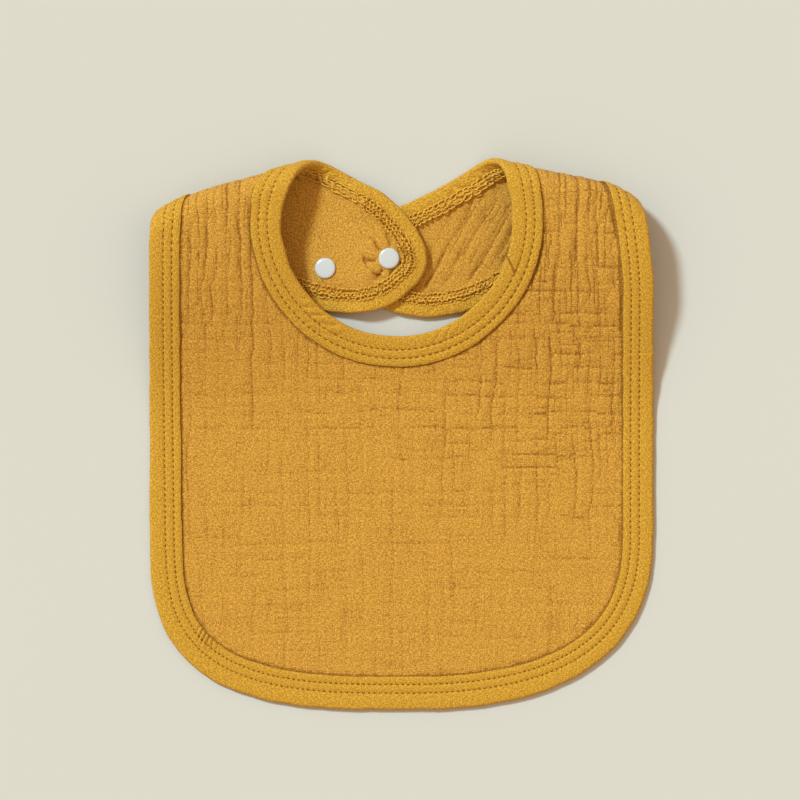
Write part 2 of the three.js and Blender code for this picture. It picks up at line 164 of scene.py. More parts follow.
RIGHT_PLACE, RIGHT_ALONG, ROLL_MIDDLE_Z = joint("right_shoulder_fold")
LEFT_PLACE, LEFT_ALONG, _ = joint("left_shoulder_fold")
PEEL_PLACE, PEEL_DOWN, _ = joint("left_tab_peel")
CLOSING_SNAP = centre_of("closing_snap_cap")[:2]
REST_Z = TAPE_TOP
FOLD_R = ROLL_MIDDLE_Z - REST_Z
HALF_TURN = math.pi * FOLD_R
ROLL_SEAM = math.radians(40) * FOLD_R
PEEL_REACH = 9.0
LEFT_LIFT = 6.4
LEFT_LIFT_REACH = (-32, 14)
RIGHT_LIFT = 0.8
RIGHT_LIFT_REACH = (22, 50)
END_DROOP = 1.3
END_DROOP_REACH = (9, 19)
END_DROOP_X = (-46, -28)
EDGE_DROOP = 2.4
EDGE_DROOP_Y = (66, 80)
EDGE_DROOP_X = (-30, -18)
RISE = (0.022, 0.085)
RISE_START = 55.0
DROOP = (7.0, 12.6)
DROOP_START = 85.0
NECK_DROOP = 1.6
NECK_DROOP_REACH = (36.0, 60.0)
NECK_DROOP_FADE = 18.0
STRAIGHT_AGAIN_AFTER = 40.0
CREST_Y = 280.0
CREST_SLOPE = math.tan(math.radians(16))
CREST_SOFTNESS = 25.0
CREST_HALF_WIDTH = 53.0
SLOPE_START = 15.0
SLOPE_RUN = 115.0
SLOPE_RUN_LOST = 20.0
TABLE_GAP = 0.04
PRESSED_OVER = 0.35

CLOTH_STEP = (0.65, 0.95)
TAPE_STEP = 0.6
SEED = 7


# ---- Small numeric helpers ----


def ramp(value, low, high):
    """A smooth step from 0 at low to 1 at high."""
    share = np.clip((value - low) / (high - low), 0, 1)
    return share * share * (3 - 2 * share)


def lattice(ix, iy, seed):
    """A repeatable random number from -1 to 1 at each whole-numbered place."""
    mixed = ix.astype(np.int64) * 374761393 + iy.astype(np.int64) * 668265263 + seed * 974711
    mixed &= 0xFFFFFFFF
    mixed = ((mixed ^ (mixed >> 13)) * 1274126177) & 0xFFFFFFFF
    return ((mixed ^ (mixed >> 16)) & 0xFFFF) / 32767.5 - 1


def noise(x, y, seed):
    """Smooth value noise from -1 to 1, one cell to a unit."""
    ix, iy = np.floor(x), np.floor(y)
    fx, fy = x - ix, y - iy
    fx, fy = fx * fx * (3 - 2 * fx), fy * fy * (3 - 2 * fy)
    low = lattice(ix, iy, seed) * (1 - fx) + lattice(ix + 1, iy, seed) * fx
    high = lattice(ix, iy + 1, seed) * (1 - fx) + lattice(ix + 1, iy + 1, seed) * fx
    return low * (1 - fy) + high * fy


def bell(value, middle, width):
    """A smooth bump of height 1 round a middle."""
    return np.exp(-(((value - middle) / width) ** 2))


def norm(vectors):
    return np.linalg.norm(vectors, axis=-1)


def dot(a, b):
    return (a * b).sum(-1)


def unit(vectors):
    return vectors / np.linalg.norm(vectors, axis=-1, keepdims=True)


# ---- Folding the pattern ----


def outward(along):
    return np.array([-along[1], along[0]])


def sampled(s, places, values):
    """Vectors given at places, read off at s."""
    return np.stack([np.interp(s, places, values[:, i]) for i in (0, 1)], -1)


def from_bottom(flat):
    """Pattern points as x, and the height above the bottom edge."""
    return flat[..., 0], flat[..., 1] - BOTTOM_Y


LEFT_OUT = outward(LEFT_ALONG)
RIGHT_OUT = outward(RIGHT_ALONG)
LEFT_START = LEFT_PLACE - LEFT_OUT * (FOLD_R + TAPE_TOP)
RIGHT_START = RIGHT_PLACE - RIGHT_OUT * (FOLD_R + TAPE_TOP)
PEEL_ALONG = 2 * dot(PEEL_DOWN, LEFT_ALONG) * LEFT_ALONG - PEEL_DOWN


def unfolded(seen, out, start):
    """The pattern point of a place that is seen on a strap."""
    return seen + out * (HALF_TURN - 2 * dot(seen - start, out))


def past_fold(flat):
    """How far a pattern point lies past the line where the roll starts."""
    left = (flat[..., 0] < 0)[..., None]
    start = np.where(left, LEFT_START, RIGHT_START)
    return dot(flat - start, np.where(left, LEFT_OUT, RIGHT_OUT))


def wrapped(flat):
    """How far a pattern point has gone round the fold, which rises from the neck and droops at both ends."""
    left = flat[..., 0] < 0
    reach = np.abs(flat[..., 0])
    corner = np.maximum(reach - DROOP_START, 0) / (HALF_WIDTH - DROOP_START)
    droop = np.where(left, *DROOP) * corner**3
    rise = np.where(left, *RISE) * np.maximum(reach - RISE_START, 0)
    at_neck = np.where(left, NECK_DROOP, 0.0) * (1 - ramp(reach, *NECK_DROOP_REACH))
    past = past_fold(flat)
    corner_fade = 1 - ramp(past, HALF_TURN, HALF_TURN + STRAIGHT_AGAIN_AFTER)
    neck_fade = 1 - ramp(past, HALF_TURN, HALF_TURN + NECK_DROOP_FADE)
    return past + (droop - rise) * corner_fade + at_neck * neck_fade


def past_peel(flat):
    """How far a pattern point lies past the peel line, towards the left strap's tip."""
    offset = flat - unfolded(PEEL_PLACE, LEFT_OUT, LEFT_START)
    return offset[..., 0] * PEEL_ALONG[1] - offset[..., 1] * PEEL_ALONG[0]


def strap_lift(flat):
    """How far the straps stand off the table: the left one on the right one, and that on its cap."""
    left = LEFT_LIFT * ramp(past_peel(flat), *LEFT_LIFT_REACH)
    away = norm(flat - (RIGHT_TIP + SHIFT))
    right = RIGHT_LIFT * (1 - ramp(away, *RIGHT_LIFT_REACH))
    return np.where(flat[..., 0] < 0, left, right)


def end_droop(seen):
    """How far the left strap's end hangs down round its snap, and more where nothing is under it."""
    away = norm(seen - CLOSING_SNAP)
    near = 1 - ramp(seen[..., 0], *END_DROOP_X)
    open_edge = 1 - ramp(seen[..., 1], *EDGE_DROOP_Y)
    open_edge = open_edge * (1 - ramp(seen[..., 0], *EDGE_DROOP_X))
    return END_DROOP * ramp(away, *END_DROOP_REACH) * (1 - near) + EDGE_DROOP * open_edge


def front_height(flat):
    """The height of the front's cloth, level over the rolls and then sloping down to the table."""
    x, y = from_bottom(flat)
    spread = np.hypot(x, CREST_SOFTNESS) - CREST_HALF_WIDTH
    below = (CREST_Y - CREST_SLOPE * spread - y) * math.cos(math.atan(CREST_SLOPE))
    run = SLOPE_RUN - SLOPE_RUN_LOST * (x / HALF_WIDTH) ** 2
    share = np.clip((below - SLOPE_START) / run, 0, 1)
    return REST_Z + FOLD_R * (1 + np.cos(math.pi * share))


def fold(flat, offset):
    """Pattern points, raised by offset on the cloth's face side, in place and pressed on the table."""
    left = (flat[..., 0] < 0)[..., None]
    out = np.where(left, LEFT_OUT, RIGHT_OUT)
    past = wrapped(flat)
    turn = np.clip(past / FOLD_R, 0, math.pi)
    rolled = np.clip(past, 0, HALF_TURN)
    under = np.maximum(past - HALF_TURN, 0)
    reach = (FOLD_R + offset) * np.sin(turn) - rolled - 2 * under
    seen = flat + out * reach[..., None]
    low = REST_Z + strap_lift(flat) - end_droop(seen) * (flat[..., 0] < 0)
    middle = low + (front_height(flat) - low) * (1 + np.cos(turn)) / 2
    over_table = middle + offset * np.cos(turn) - TABLE_GAP
    height = TABLE_GAP + PRESSED_OVER * np.logaddexp(0, over_table / PRESSED_OVER)
    return np.concatenate([seen, height[..., None]], axis=-1)


# ---- The pattern's two rails ----


def arc(centre, radius, start, end):
    angles = np.linspace(start, end, max(3, int(abs(end - start) * radius / RAIL_STEP)))
    return centre + radius * np.stack([np.cos(angles), np.sin(angles)], -1)


def bezier(a, b, c, d):
    t = np.linspace(0, 1, CURVE_POINTS)[:, None]
    points = [np.array(p, float) for p in (a, b, c, d)]
    weights = [(1 - t) ** 3, 3 * (1 - t) ** 2 * t, 3 * (1 - t) * t**2, t**3]
    return sum(w * p for w, p in zip(weights, points))


def bottom_curve():
    """The bottom edge is a superellipse, squarer on the left than on the right."""
    turn = np.linspace(0, math.pi, 2 * CURVE_POINTS)
    sideways = -np.cos(turn)
    roundness = np.where(sideways < 0, *BOTTOM_ROUNDNESS)
    reach = np.sign(sideways) * HALF_WIDTH * np.abs(sideways) ** (2 / roundness)
    return np.stack([reach, SIDE_BOTTOM * (1 - np.sin(turn) ** (2 / roundness))], -1)


class Rail:
    """An edge of the pattern. turn is 1 where the cloth is to the left of it, or -1."""

    def __init__(self, stretches, turn):
        points = np.concatenate(stretches) + SHIFT
        moved = norm(np.diff(points, axis=0)) > 1e-6
        points = points[np.concatenate([[True], moved])]
        places = np.concatenate([[0], np.cumsum(norm(np.diff(points, axis=0)))])
        self.length = places[-1]
        count = int(self.length / RAIL_STEP)
        self.places = np.linspace(0, self.length, count)
        self.points = sampled(self.places, places, points)
        self.turn = turn
        self.square = self.make_square()

    def make_square(self):
        """The way in from the edge, smoothed over the pattern's small corners."""
        along = np.gradient(self.points, axis=0)
        width = int(SMOOTHED_OVER / RAIL_STEP)
        padded = np.pad(along, ((width, width), (0, 0)), mode="edge")
        kernel = np.hanning(2 * width + 1)
        smooth = np.stack([np.convolve(padded[:, i], kernel, "valid") for i in (0, 1)], -1)
        return unit(self.turn * np.stack([-smooth[:, 1], smooth[:, 0]], -1))

    def at(self, s):
        point = sampled(s, self.places, self.points)
        return point, self.lean(point, unit(sampled(s, self.places, self.square)))

    def lean(self, point, square):
        """In from the edge: square to it, but along the fold or peel line close to one."""
        left = point[..., 0] < 0
        past = past_fold(point)
        away = np.maximum(np.maximum(-past, past - HALF_TURN), 0)
        share = (1 - ramp(away, 0, LEAN_REACH))[..., None]
        fold_line = np.where(left[..., None], LEFT_ALONG, RIGHT_ALONG)
        fold_line = fold_line * np.sign(dot(fold_line, square))[..., None]
        inward = unit(square * (1 - share) + fold_line * share)
        near_peel = 1 - ramp(np.abs(past_peel(point)), 0, LEAN_REACH)
        near_peel = near_peel * left * (past > HALF_TURN)
        peel_line = PEEL_ALONG * np.sign(dot(PEEL_ALONG, square))[..., None]
        share = np.minimum(near_peel, 1 - share[..., 0])[..., None]
        inward = unit(inward * (1 - share) + peel_line * share)
        return inward / dot(inward, square)[..., None]

    def crossing(self, height, on_left):
        """The place nearest to one side's tip where height passes through zero."""
        half = self.length / 2
        side = self.places < half if on_left else self.places > half
        values = height(self.points[side])
        change = np.nonzero(np.diff(np.sign(values)))[0]
        first = change[0] if on_left else change[-1]
        share = values[first] / (values[first] - values[first + 1])
        places = self.places[side]
        return places[first] + share * (places[first + 1] - places[first])


def make_rails():
    join = RIGHT_TIP + RIGHT_TIP_R * np.array([math.cos(RIGHT_NECK_JOIN), math.sin(RIGHT_NECK_JOIN)])
    quarter = math.pi / 2
    left_x, right_x = NECK[0] - NECK_R, NECK[0] + NECK_R
    left_end, left_top = LEFT_TIP + (LEFT_TIP_R, 0), LEFT_TIP + (0, LEFT_TIP_R)
    right_top = RIGHT_TIP + (0, RIGHT_TIP_R)
    left_side, right_side = (-HALF_WIDTH, LEFT_SIDE_TOP), (HALF_WIDTH, RIGHT_SIDE_TOP)
    neck = [
        arc(LEFT_TIP, LEFT_TIP_R, LEFT_TIP_MIDDLE, 0),
        bezier(left_end, NECK_PULLS[0], (left_x, NECK_SIDE_Y), (left_x, NECK[1])),
        arc(NECK, NECK_R, math.pi, math.tau),
        bezier((right_x, NECK[1]), (right_x, NECK_SIDE_Y), NECK_PULLS[1], join),
        arc(RIGHT_TIP, RIGHT_TIP_R, RIGHT_NECK_JOIN, RIGHT_TIP_MIDDLE),
    ]
    outer = [
        arc(LEFT_TIP, LEFT_TIP_R, LEFT_TIP_MIDDLE, quarter),
        bezier(left_top, SHOULDER_PULLS[0], (-HALF_WIDTH, SIDE_PULLS_Y[0]), left_side),
        bottom_curve(),
        bezier(right_side, (HALF_WIDTH, SIDE_PULLS_Y[1]), SHOULDER_PULLS[1], right_top),
        arc(RIGHT_TIP, RIGHT_TIP_R, quarter, RIGHT_TIP_MIDDLE),
    ]
    return Rail(neck, -1), Rail(outer, 1)


NECK_RAIL, OUTER_RAIL = make_rails()


# ---- Meshes ----


def link(made):
    bpy.context.scene.collection.objects.link(made)
    return made


def make_mesh(name, points, faces, normals=None, flat=None, painted_shade=None):
    """A mesh object from points in millimetres and an array of faces with the same corner count.
    Cloth and tape come with normals, flat-pattern places and a share of painted shade for their creases too."""
    points = np.asarray(points, float).reshape(-1, 3) * MM
    faces = np.asarray(faces, np.int32)
    mesh = bpy.data.meshes.new(name)
    mesh.vertices.add(len(points))
    mesh.vertices.foreach_set("co", points.astype(np.float32).ravel())
    corners = faces.shape[1]
    mesh.loops.add(faces.size)
    mesh.loops.foreach_set("vertex_index", faces.ravel())
    mesh.polygons.add(len(faces))
    mesh.polygons.foreach_set("loop_start", np.arange(0, faces.size, corners, dtype=np.int32))
    mesh.update(calc_edges=True)
    mesh.validate()
    mesh.polygons.foreach_set("use_smooth", np.ones(len(mesh.polygons), bool))
    if flat is not None:
        store = mesh.attributes.new("flat", "FLOAT_VECTOR", "POINT")
        padded = np.zeros((len(points), 3), np.float32)
        padded[:, :2] = flat.reshape(-1, 2)
        store.data.foreach_set("vector", padded.ravel())
        # This attribute is painted shade: it darkens the colour in creases, grooves and under the tape's
        # edges.
        store = mesh.attributes.new("painted_shade", "FLOAT", "POINT")
        store.data.foreach_set("value", np.asarray(painted_shade, np.float32).ravel())
        mesh.normals_split_custom_set_from_vertices(normals.reshape(-1, 3).tolist())
    return link(bpy.data.objects.new(name, mesh))


def grid_faces(rows, columns, closed_columns=False):
    """The quads of a grid of points, rows by columns, with its columns closed into a ring or not."""
    across = columns if closed_columns else columns - 1
    row, column = np.meshgrid(np.arange(rows - 1), np.arange(across), indexing="ij")
    following = (column + 1) % columns
    corners = [row * columns + column, row * columns + following]
    corners += [(row + 1) * columns + following, (row + 1) * columns + column]
    return np.stack(corners, -1).reshape(-1, 4)


# ---- Crinkles ----

# Layers of creases: their way, spacing, sharpness, how far one runs, how far it wanders, its
# depth, and how much deeper it is at the top of the front.
CREASE_LAYERS = (
    ("upright", 6.8, 1.1, 26, 2.2, 1.10, 0.40),
    ("level", 7.6, 1.0, 15, 2.0, 1.00, 0),
    ("upright", 3.5, 0.8, 10, 1.3, 0.42, 0),
    ("level", 3.9, 0.8, 8, 1.3, 0.40, 0),
    ("slanted", 11.0, 0.9, 7, 2.5, 0.55, 0),
)

# Where the creases' shares change, and the shares: everywhere, and what the top, the bottom,
# the sides and the right add.
UPPER_Y = (165, 240)
LOWER_Y = (15, 120)
SIDES_X = (30, 95)
RIGHT_X = (-60, 90)
SIDES_Y = (60, 170)
UPRIGHT_SHARES = (0.36, 0.36, -0.06, 0.12, 0.22)
LEVEL_SHARES = (0.38, -0.12, -0.06, 0.04, 0.28)
STRAPS_CALM = (0.8, 0.2)
LEVEL_CALM = 0.9
ROLLS_CALM = 0.6

# The dent where the cloth goes in under the tape, deeper at the upper right, and the painted shade in it.
TUCK_DEPTH = 0.75
TUCK_SHADE = 0.8
TUCK_X = (20, 95)
TUCK_Y = (150, 215)

# The puckers round the closed snap.
PUCKERS_START = (4.5, 7)
PUCKERS_END = (10, 18)
PUCKER_DEPTH = 1.9
RING_RADIUS = 11.5
RING_DEPTH = 1.8


def crease_lines(across, along, spacing, sharpness, run, wander, seed):
    """Crease lines that wander a little and come and go: how deep each point lies in one, and how much
    painted shade it gets on the line.
    """
    drift = wander * noise(across / (spacing * 2.5), along / 30, seed)
    drift = drift + 0.35 * wander * noise(across / spacing, along / 6, seed + 1)
    place = (across + drift) / spacing
    nearest = np.floor(place + 0.5)
    depth, line_shade = np.zeros_like(place), np.zeros_like(place)
    for step in (-1, 0, 1):
        line = nearest + step
        jitter = 0.30 * lattice(line, line * 0, seed + 2)
        away = np.abs(place - line - jitter) * spacing
        strength = np.clip(0.55 + 0.85 * noise(line * 1.7, along / run, seed + 3), 0, 1)
        depth = np.maximum(depth, strength * np.exp(-away / sharpness))
        line_shade = np.maximum(line_shade, strength * bell(away, 0, 0.5))
    return depth, line_shade


def tree_of(points):
    tree = KDTree(len(points))
    for number, point in enumerate(points):
        tree.insert((point[0], point[1], 0), number)
    tree.balance()
    return tree


def edge_distance(flat):
    """How far each pattern point lies in from the nearer edge, near enough for fading crinkles."""
    tree = tree_of(np.concatenate([NECK_RAIL.points[::4], OUTER_RAIL.points[::4]]))
    found = [tree.find((x, y, 0))[2] for x, y in flat.reshape(-1, 2)]
    return np.array(found).reshape(flat.shape[:-1])


def lower_spread(flat):
    """How much further in from the edge the tape's stitches lie along the lower edge."""
    x, y = from_bottom(flat)
    return BOTTOM_SPREAD * (1 - ramp(y, 20, 190)) * (1 - ramp(x, 40, 122))


def crease_shares(x, y, upper):
    """How strong the upright and the level creases are at each place on the front."""
    lower = 1 - ramp(y, *LOWER_Y)
    sides = ramp(np.abs(x), *SIDES_X) * ramp(y, *SIDES_Y)
    right = ramp(x, *RIGHT_X) * ramp(y, *SIDES_Y)
    places = (1.0, upper, lower, sides, right)
    upright = sum(share * place for share, place in zip(UPRIGHT_SHARES, places))
    level = sum(share * place for share, place in zip(LEVEL_SHARES, places))
    return upright, level


def layered_creases(x, y, beyond):
    """The depth of the creases with the puffed cloth between them, and the share of painted shade on the
    crease lines.
    """
    upper = ramp(y, *UPPER_Y)
    upright, level = crease_shares(x, y, upper)
    upright = upright * (1 - np.where(x < 0, *STRAPS_CALM) * beyond)
    level = level * (1 - LEVEL_CALM * beyond)
    ways = {
        "upright": (upright, x, y),
        "level": (level, y, x),
        "slanted": (0.6 * upright, x - 0.5 * y, y),
    }
    depth, shade_share = np.zeros_like(x), np.zeros_like(x)
    for number, (way, spacing, sharpness, run, wander, height, deeper) in enumerate(CREASE_LAYERS):
        share, across, along = ways[way]
        dip, line = crease_lines(across, along, spacing, sharpness, run, wander, SEED + 10 * number)
        height = height + deeper * upper
        depth = depth + share * height * dip
        shade_share = np.maximum(shade_share, np.sqrt(np.minimum(height, 1)) * share * line)
    puff = 0.14 * noise(x / 9, y / 11, SEED + 80) + 0.12 * noise(x / 2.1, y / 2.4, SEED + 81)
    return depth + puff * (0.5 + 0.5 * upright), shade_share


def tuck(x, y, inset, beyond):
    """The depth of the dent beside the tape, the painted shade in it, and a painted shadow line under the
    tape's inner edge.
    """
    inset = inset - TAPE_WIDTH
    dent = bell(inset, 0.9, 0.9)
    share = ramp(x, *TUCK_X) * ramp(y, *TUCK_Y) + 0.35
    share = share * np.clip(0.7 + 0.8 * noise(x / 12, y / 9, SEED + 90), 0, 1) * (1 - beyond)
    # A painted shadow line where the tape's inner edge shades the cloth.
    line = bell(inset, 0.2, 0.6) * (0.75 + 0.25 * noise(x / 4, y / 4, SEED + 91))
    return TUCK_DEPTH * dent * share, TUCK_SHADE * dent * share, line * (1 - beyond)


def crinkle(flat, inset):
    """How deep the cloth dips at each pattern point, and how much painted shade its creases and the tape's
    edge put there.
    """
    x, y = from_bottom(flat)
    past = past_fold(flat)
    beyond = ramp(past, HALF_TURN * 0.8, HALF_TURN)
    depth, shade_share = layered_creases(x, y, beyond)
    depth = depth * (1 - ROLLS_CALM * ramp(past, -4, 8) * (1 - beyond))
    clear = ramp(inset, TAPE_BACK_WIDTH - 1.0, TAPE_WIDTH + 2.0)
    dent, shade, line = tuck(x, y, inset - lower_spread(flat), beyond)
    return depth * clear + dent, np.clip(shade_share * clear + shade + line, 0, 1)


def snap_puckers(flat, inset):
    """Wrinkles that the closed snap pulls into the strap's end: their depth and the painted shade in them.
    """
    away = flat - unfolded(CLOSING_SNAP, LEFT_OUT, LEFT_START)
    radius = norm(away)
    angle = np.arctan2(away[..., 1], away[..., 0])
    near = ramp(radius, *PUCKERS_START) * (1 - ramp(radius, *PUCKERS_END))
    spokes = np.abs(np.sin(angle * 3.5 + 0.8 * noise(radius / 4, angle, SEED + 50)))
    ring = bell(radius - RING_RADIUS, 1.5 * np.sin(angle * 2), 0.9)
    ring *= np.clip(0.6 + noise(radius / 3, angle * 2.5, SEED + 51), 0, 1)
    one_side = ramp(away[..., 0] - away[..., 1] * 0.4, -12, 2)
    dip = near * (1 - spokes) ** 2 * PUCKER_DEPTH + RING_DEPTH * ring * (1 - one_side)
    dip = dip * (flat[..., 0] < 0) * (inset > 11)
    return dip, np.clip(0.45 * dip - 0.2, 0, 1)


# ---- Cloth plies ----


def inset_rails():
    """The neck's and the outer edge of the cloth, which ends inside the tape."""
    return [rail.points + rail.square * CLOTH_INSET for rail in (NECK_RAIL, OUTER_RAIL)]


def fill_mask(xs, ys, outline):
    """Which points of a grid lie inside a closed outline, found line by line."""
    x0, y0 = outline.T
    x1, y1 = np.roll(outline, -1, axis=0).T
    mask = np.zeros((len(ys), len(xs)), bool)
    for row, y in enumerate(ys):
        crossed = (y0 > y) != (y1 > y)
        cuts = np.sort(x0[crossed] + (y - y0[crossed]) / (y1 - y0)[crossed] * (x1 - x0)[crossed])
        mask[row] = np.searchsorted(cuts, xs) % 2 == 1
    return mask


def snap_to_outline(flat, picked, outline):
    tree = tree_of(outline)
    for index in picked:
        flat[index] = tree.find((flat[index][0], flat[index][1], 0))[0][:2]


def cloth_grid():
    """The whole cloth as a grid on the flat pattern: its points, and the quads that it keeps."""
    neck, outer = inset_rails()
    xs = np.arange(-HALF_WIDTH, HALF_WIDTH, CLOTH_STEP[0])
    ys = np.arange(BOTTOM_Y, RIGHT_TIP[1] + SHIFT[1] + RIGHT_TIP_R, CLOTH_STEP[1])
    mask = fill_mask(xs, ys, np.concatenate([neck[::3], outer[::-3]]))
    flat = np.stack(np.meshgrid(xs, ys), -1).reshape(-1, 2)
    quads = grid_faces(len(ys), len(xs))
    kept = mask.ravel()[quads].all(axis=1)
    uses = np.bincount(quads[kept].ravel(), minlength=len(flat))
    rim = np.nonzero((uses > 0) & (uses < 4))[0]
    snap_to_outline(flat, rim, np.concatenate([neck, outer]))
    return flat, quads[kept], (len(ys), len(xs))


def regions_of(flat):
    """The part of the bib that each pattern point belongs to, as a name's number."""
    past = past_fold(flat)
    left = flat[..., 0] < 0
    rolled = wrapped(flat) > ROLL_SEAM
    region = np.zeros(flat.shape[:-1], int)
    region[rolled & left] = 1
    region[rolled & ~left] = 2
    region[(past > HALF_TURN) & left] = 3
    region[(past > HALF_TURN) & ~left] = 4
    region[left & (past > HALF_TURN) & (past_peel(flat) > -PEEL_REACH)] = 5
    return region


REGIONS = ("front", "left_roll", "right_roll", "left_strap", "right_strap", "left_tab")


def grid_normals(points, shape):
    """Normals of a grid's surface, from the points on either side of each point."""
    grid = points.reshape(*shape, 3)
    across = np.gradient(grid, axis=1)
    up = np.gradient(grid, axis=0)
    return unit(np.cross(across, up) + 1e-12).reshape(-1, 3)


def make_plies():
    """The face ply and the lining ply, each as one piece for each part of the bib."""
    flat, quads, shape = cloth_grid()
    inset = edge_distance(flat)
    depth, shade_share = crinkle(flat, inset)
    pucker_depth, pucker_shade = snap_puckers(flat, inset)
    depth, shade_share = depth + pucker_depth, np.maximum(shade_share, pucker_shade)
    facing = 1 - 2 * ramp(wrapped(flat), 0.55 * HALF_TURN, 0.95 * HALF_TURN)
    quad_region = regions_of(flat[quads].mean(axis=1))
    plies, cuts = {}, {}
    for ply, height, turned in (("face", PLY_FACE, 1), ("lining", -PLY_FACE, -1)):
        points = fold(flat, height - depth * facing)
        normals = grid_normals(points, shape) * turned
        for number, region in enumerate(REGIONS):
            chosen = quads[quad_region == number]
            used, faces = np.unique(chosen, return_inverse=True)
            faces = faces.reshape(-1, 4)
            if turned < 0:
                faces = faces[:, ::-1]
            name = f"{region}_{ply}_cloth"
            piece = make_mesh(name, points[used], faces, normals[used], flat[used], shade_share[used])
            plies[name] = dress(piece, MUSLIN, region)
            width, length = np.ptp(flat[used], axis=0)
            cuts[name] = (width, length, len(faces) * CLOTH_STEP[0] * CLOTH_STEP[1])
    return plies, cuts


# ---- Edge tape ----

# The tape's soft ridges, as places in from the edge, widths and heights.
TAPE_RIDGES = ((sum(STITCH_ROWS) / 2, 1.3, 0.22), (4.0, 2.4, 0.25), (13.6, 1.0, 0.14))

# Ruffles of the gathered tape, with their heights on the neck's tape and on the outer one.
RUFFLE_PITCH = 6.2
RUFFLE_HEIGHTS = (0.45, 0.12)
FOLD_GATHER_REACH = 22
OUTER_SKIN = 1.5


def run_of(rail, start, end, step):
    """Places along a rail from start to end, and one step more at both ends: the edge points, the
    ways in, the distances, and 1 for the neck's rail or 0 for the outer one."""
    count = max(2, int(abs(end - start) / step) + 1)
    s = np.linspace(start, end, count)
    s = np.concatenate([[2 * s[0] - s[1]], s, [2 * s[-1] - s[-2]]])
    point, inward = rail.at(s)
    return point, inward, s, np.full(len(s), 1.0 if rail is NECK_RAIL else 0.0)


def joined(first, second):
    """One run that goes on into another at a strap's tip."""
    return tuple(np.concatenate([a[:-1], b[2:]]) for a, b in zip(first, second))


def tape_outline():
    """The tape's section, from the face leg's inner edge, round the bib's edge, to the back leg's."""
    face = np.linspace(TAPE_WIDTH, EDGE_ROUND, 40)
    back = np.linspace(EDGE_ROUND, TAPE_BACK_WIDTH, 16)
    turn = np.radians(np.linspace(90, 270, 11)[1:-1])
    edge = np.stack([EDGE_ROUND + EDGE_ROUND * np.cos(turn), TAPE_TOP * np.sin(turn)], -1)
    inner_in = TAPE_WIDTH + 0.05
    rows = [(inner_in, PLY_FACE - TAPE_SUNK), (inner_in + 0.02, TAPE_RIM)]
    rows += [(a, TAPE_TOP) for a in face]
    rows += [tuple(p) for p in edge]
    rows += [(a, -TAPE_TOP) for a in back]
    rows += [(TAPE_BACK_WIDTH + 0.05, -TAPE_RIM), (TAPE_BACK_WIDTH, -PLY_FACE + TAPE_SUNK)]
    rows += [(2 * INNER_FOLD, -TAPE_INNER), (INNER_FOLD, 0), (2 * INNER_FOLD, TAPE_INNER)]
    return np.array(rows)


def seam_relief(a, s):
    """The grooves that the stitches pull in, and the ridges beside them: heights, and painted shade in the
    grooves.
    """
    beat = 0.5 + 0.5 * np.cos(math.tau * s / STITCH_PITCH)
    relief, painted_shade = np.zeros_like(a), np.zeros_like(a)
    for row in STITCH_ROWS:
        relief -= (0.55 - 0.3 * beat) * bell(a, row, 0.5)
        # Painted shade along the stitch grooves.
        painted_shade = np.maximum(painted_shade, (0.55 - 0.45 * beat) * bell(a, row, 0.42))
    for place, width, height in TAPE_RIDGES:
        relief += height * bell(a, place, width)
    relief -= 0.30 * ramp(a, TAPE_WIDTH - 0.7, TAPE_WIDTH)
    return relief, painted_shade


def ruffles(flat, a, s, on_neck):
    """Slanting ruffles where the tape is gathered, most at the folds and below the spare snap, with painted
    shade in their troughs on the neck tape.
    """
    x, y = from_bottom(flat)
    slant = (s + 0.9 * a) / RUFFLE_PITCH + 1.2 * noise(x / 16, y / 16, SEED + 60)
    at_fold = 0.7 * bell(past_fold(flat), HALF_TURN, FOLD_GATHER_REACH)
    pleated = bell(np.hypot(x - PLEATS[0], y - PLEATS[1]), 0, PLEATS_REACH)
    gather = np.clip(0.15 + at_fold + pleated + 1.1 * noise(x / 20, y / 20, SEED + 61), 0, 1)
    ridge = 1 - 2 * np.abs(np.sin(math.pi * slant)) ** 0.6
    rim = ramp(a, 0.5, 3) * (1 - 0.6 * ramp(a, 6, 8))
    relief = np.where(on_neck > 0, *RUFFLE_HEIGHTS) * ridge * gather * rim
    return relief, 0.5 * np.clip(ridge, 0, 1) ** 3 * gather * rim * (on_neck > 0)


def neck_lap(a, s, on_neck):
    """The step where the neck tape's end is lapped over its start, with a painted shadow line along the
    step.
    """
    lap = s - NECK_JOIN * NECK_RAIL.length + 0.9 * (a - 4)
    near_join = on_neck * (1 - ramp(a, STITCH_ROWS[0] - 0.5, STITCH_ROWS[0] + 0.5))
    relief = 0.6 * near_join * ramp(lap, -0.3, 0.3) * (1 - ramp(lap, 3, 12))
    return relief, near_join * bell(lap, 0, 0.5)


def bunched_tape(flat, a, s):
    """The small wrinkles where the tape is bunched on the lower left corner, with painted shade in their
    troughs.
    """
    x, y = from_bottom(flat)
    bunched = bell(np.hypot(x - BUNCH[0], y - BUNCH[1]), 0, BUNCH_REACH) * ramp(a, 5, 8)
    wrinkle = np.sin(math.tau * (s + 0.5 * a) / BUNCH_PITCH + noise(x / 4, y / 4, SEED + 64))
    return 0.45 * bunched * wrinkle, 0.9 * bunched * np.clip(-wrinkle, 0, 1) ** 4


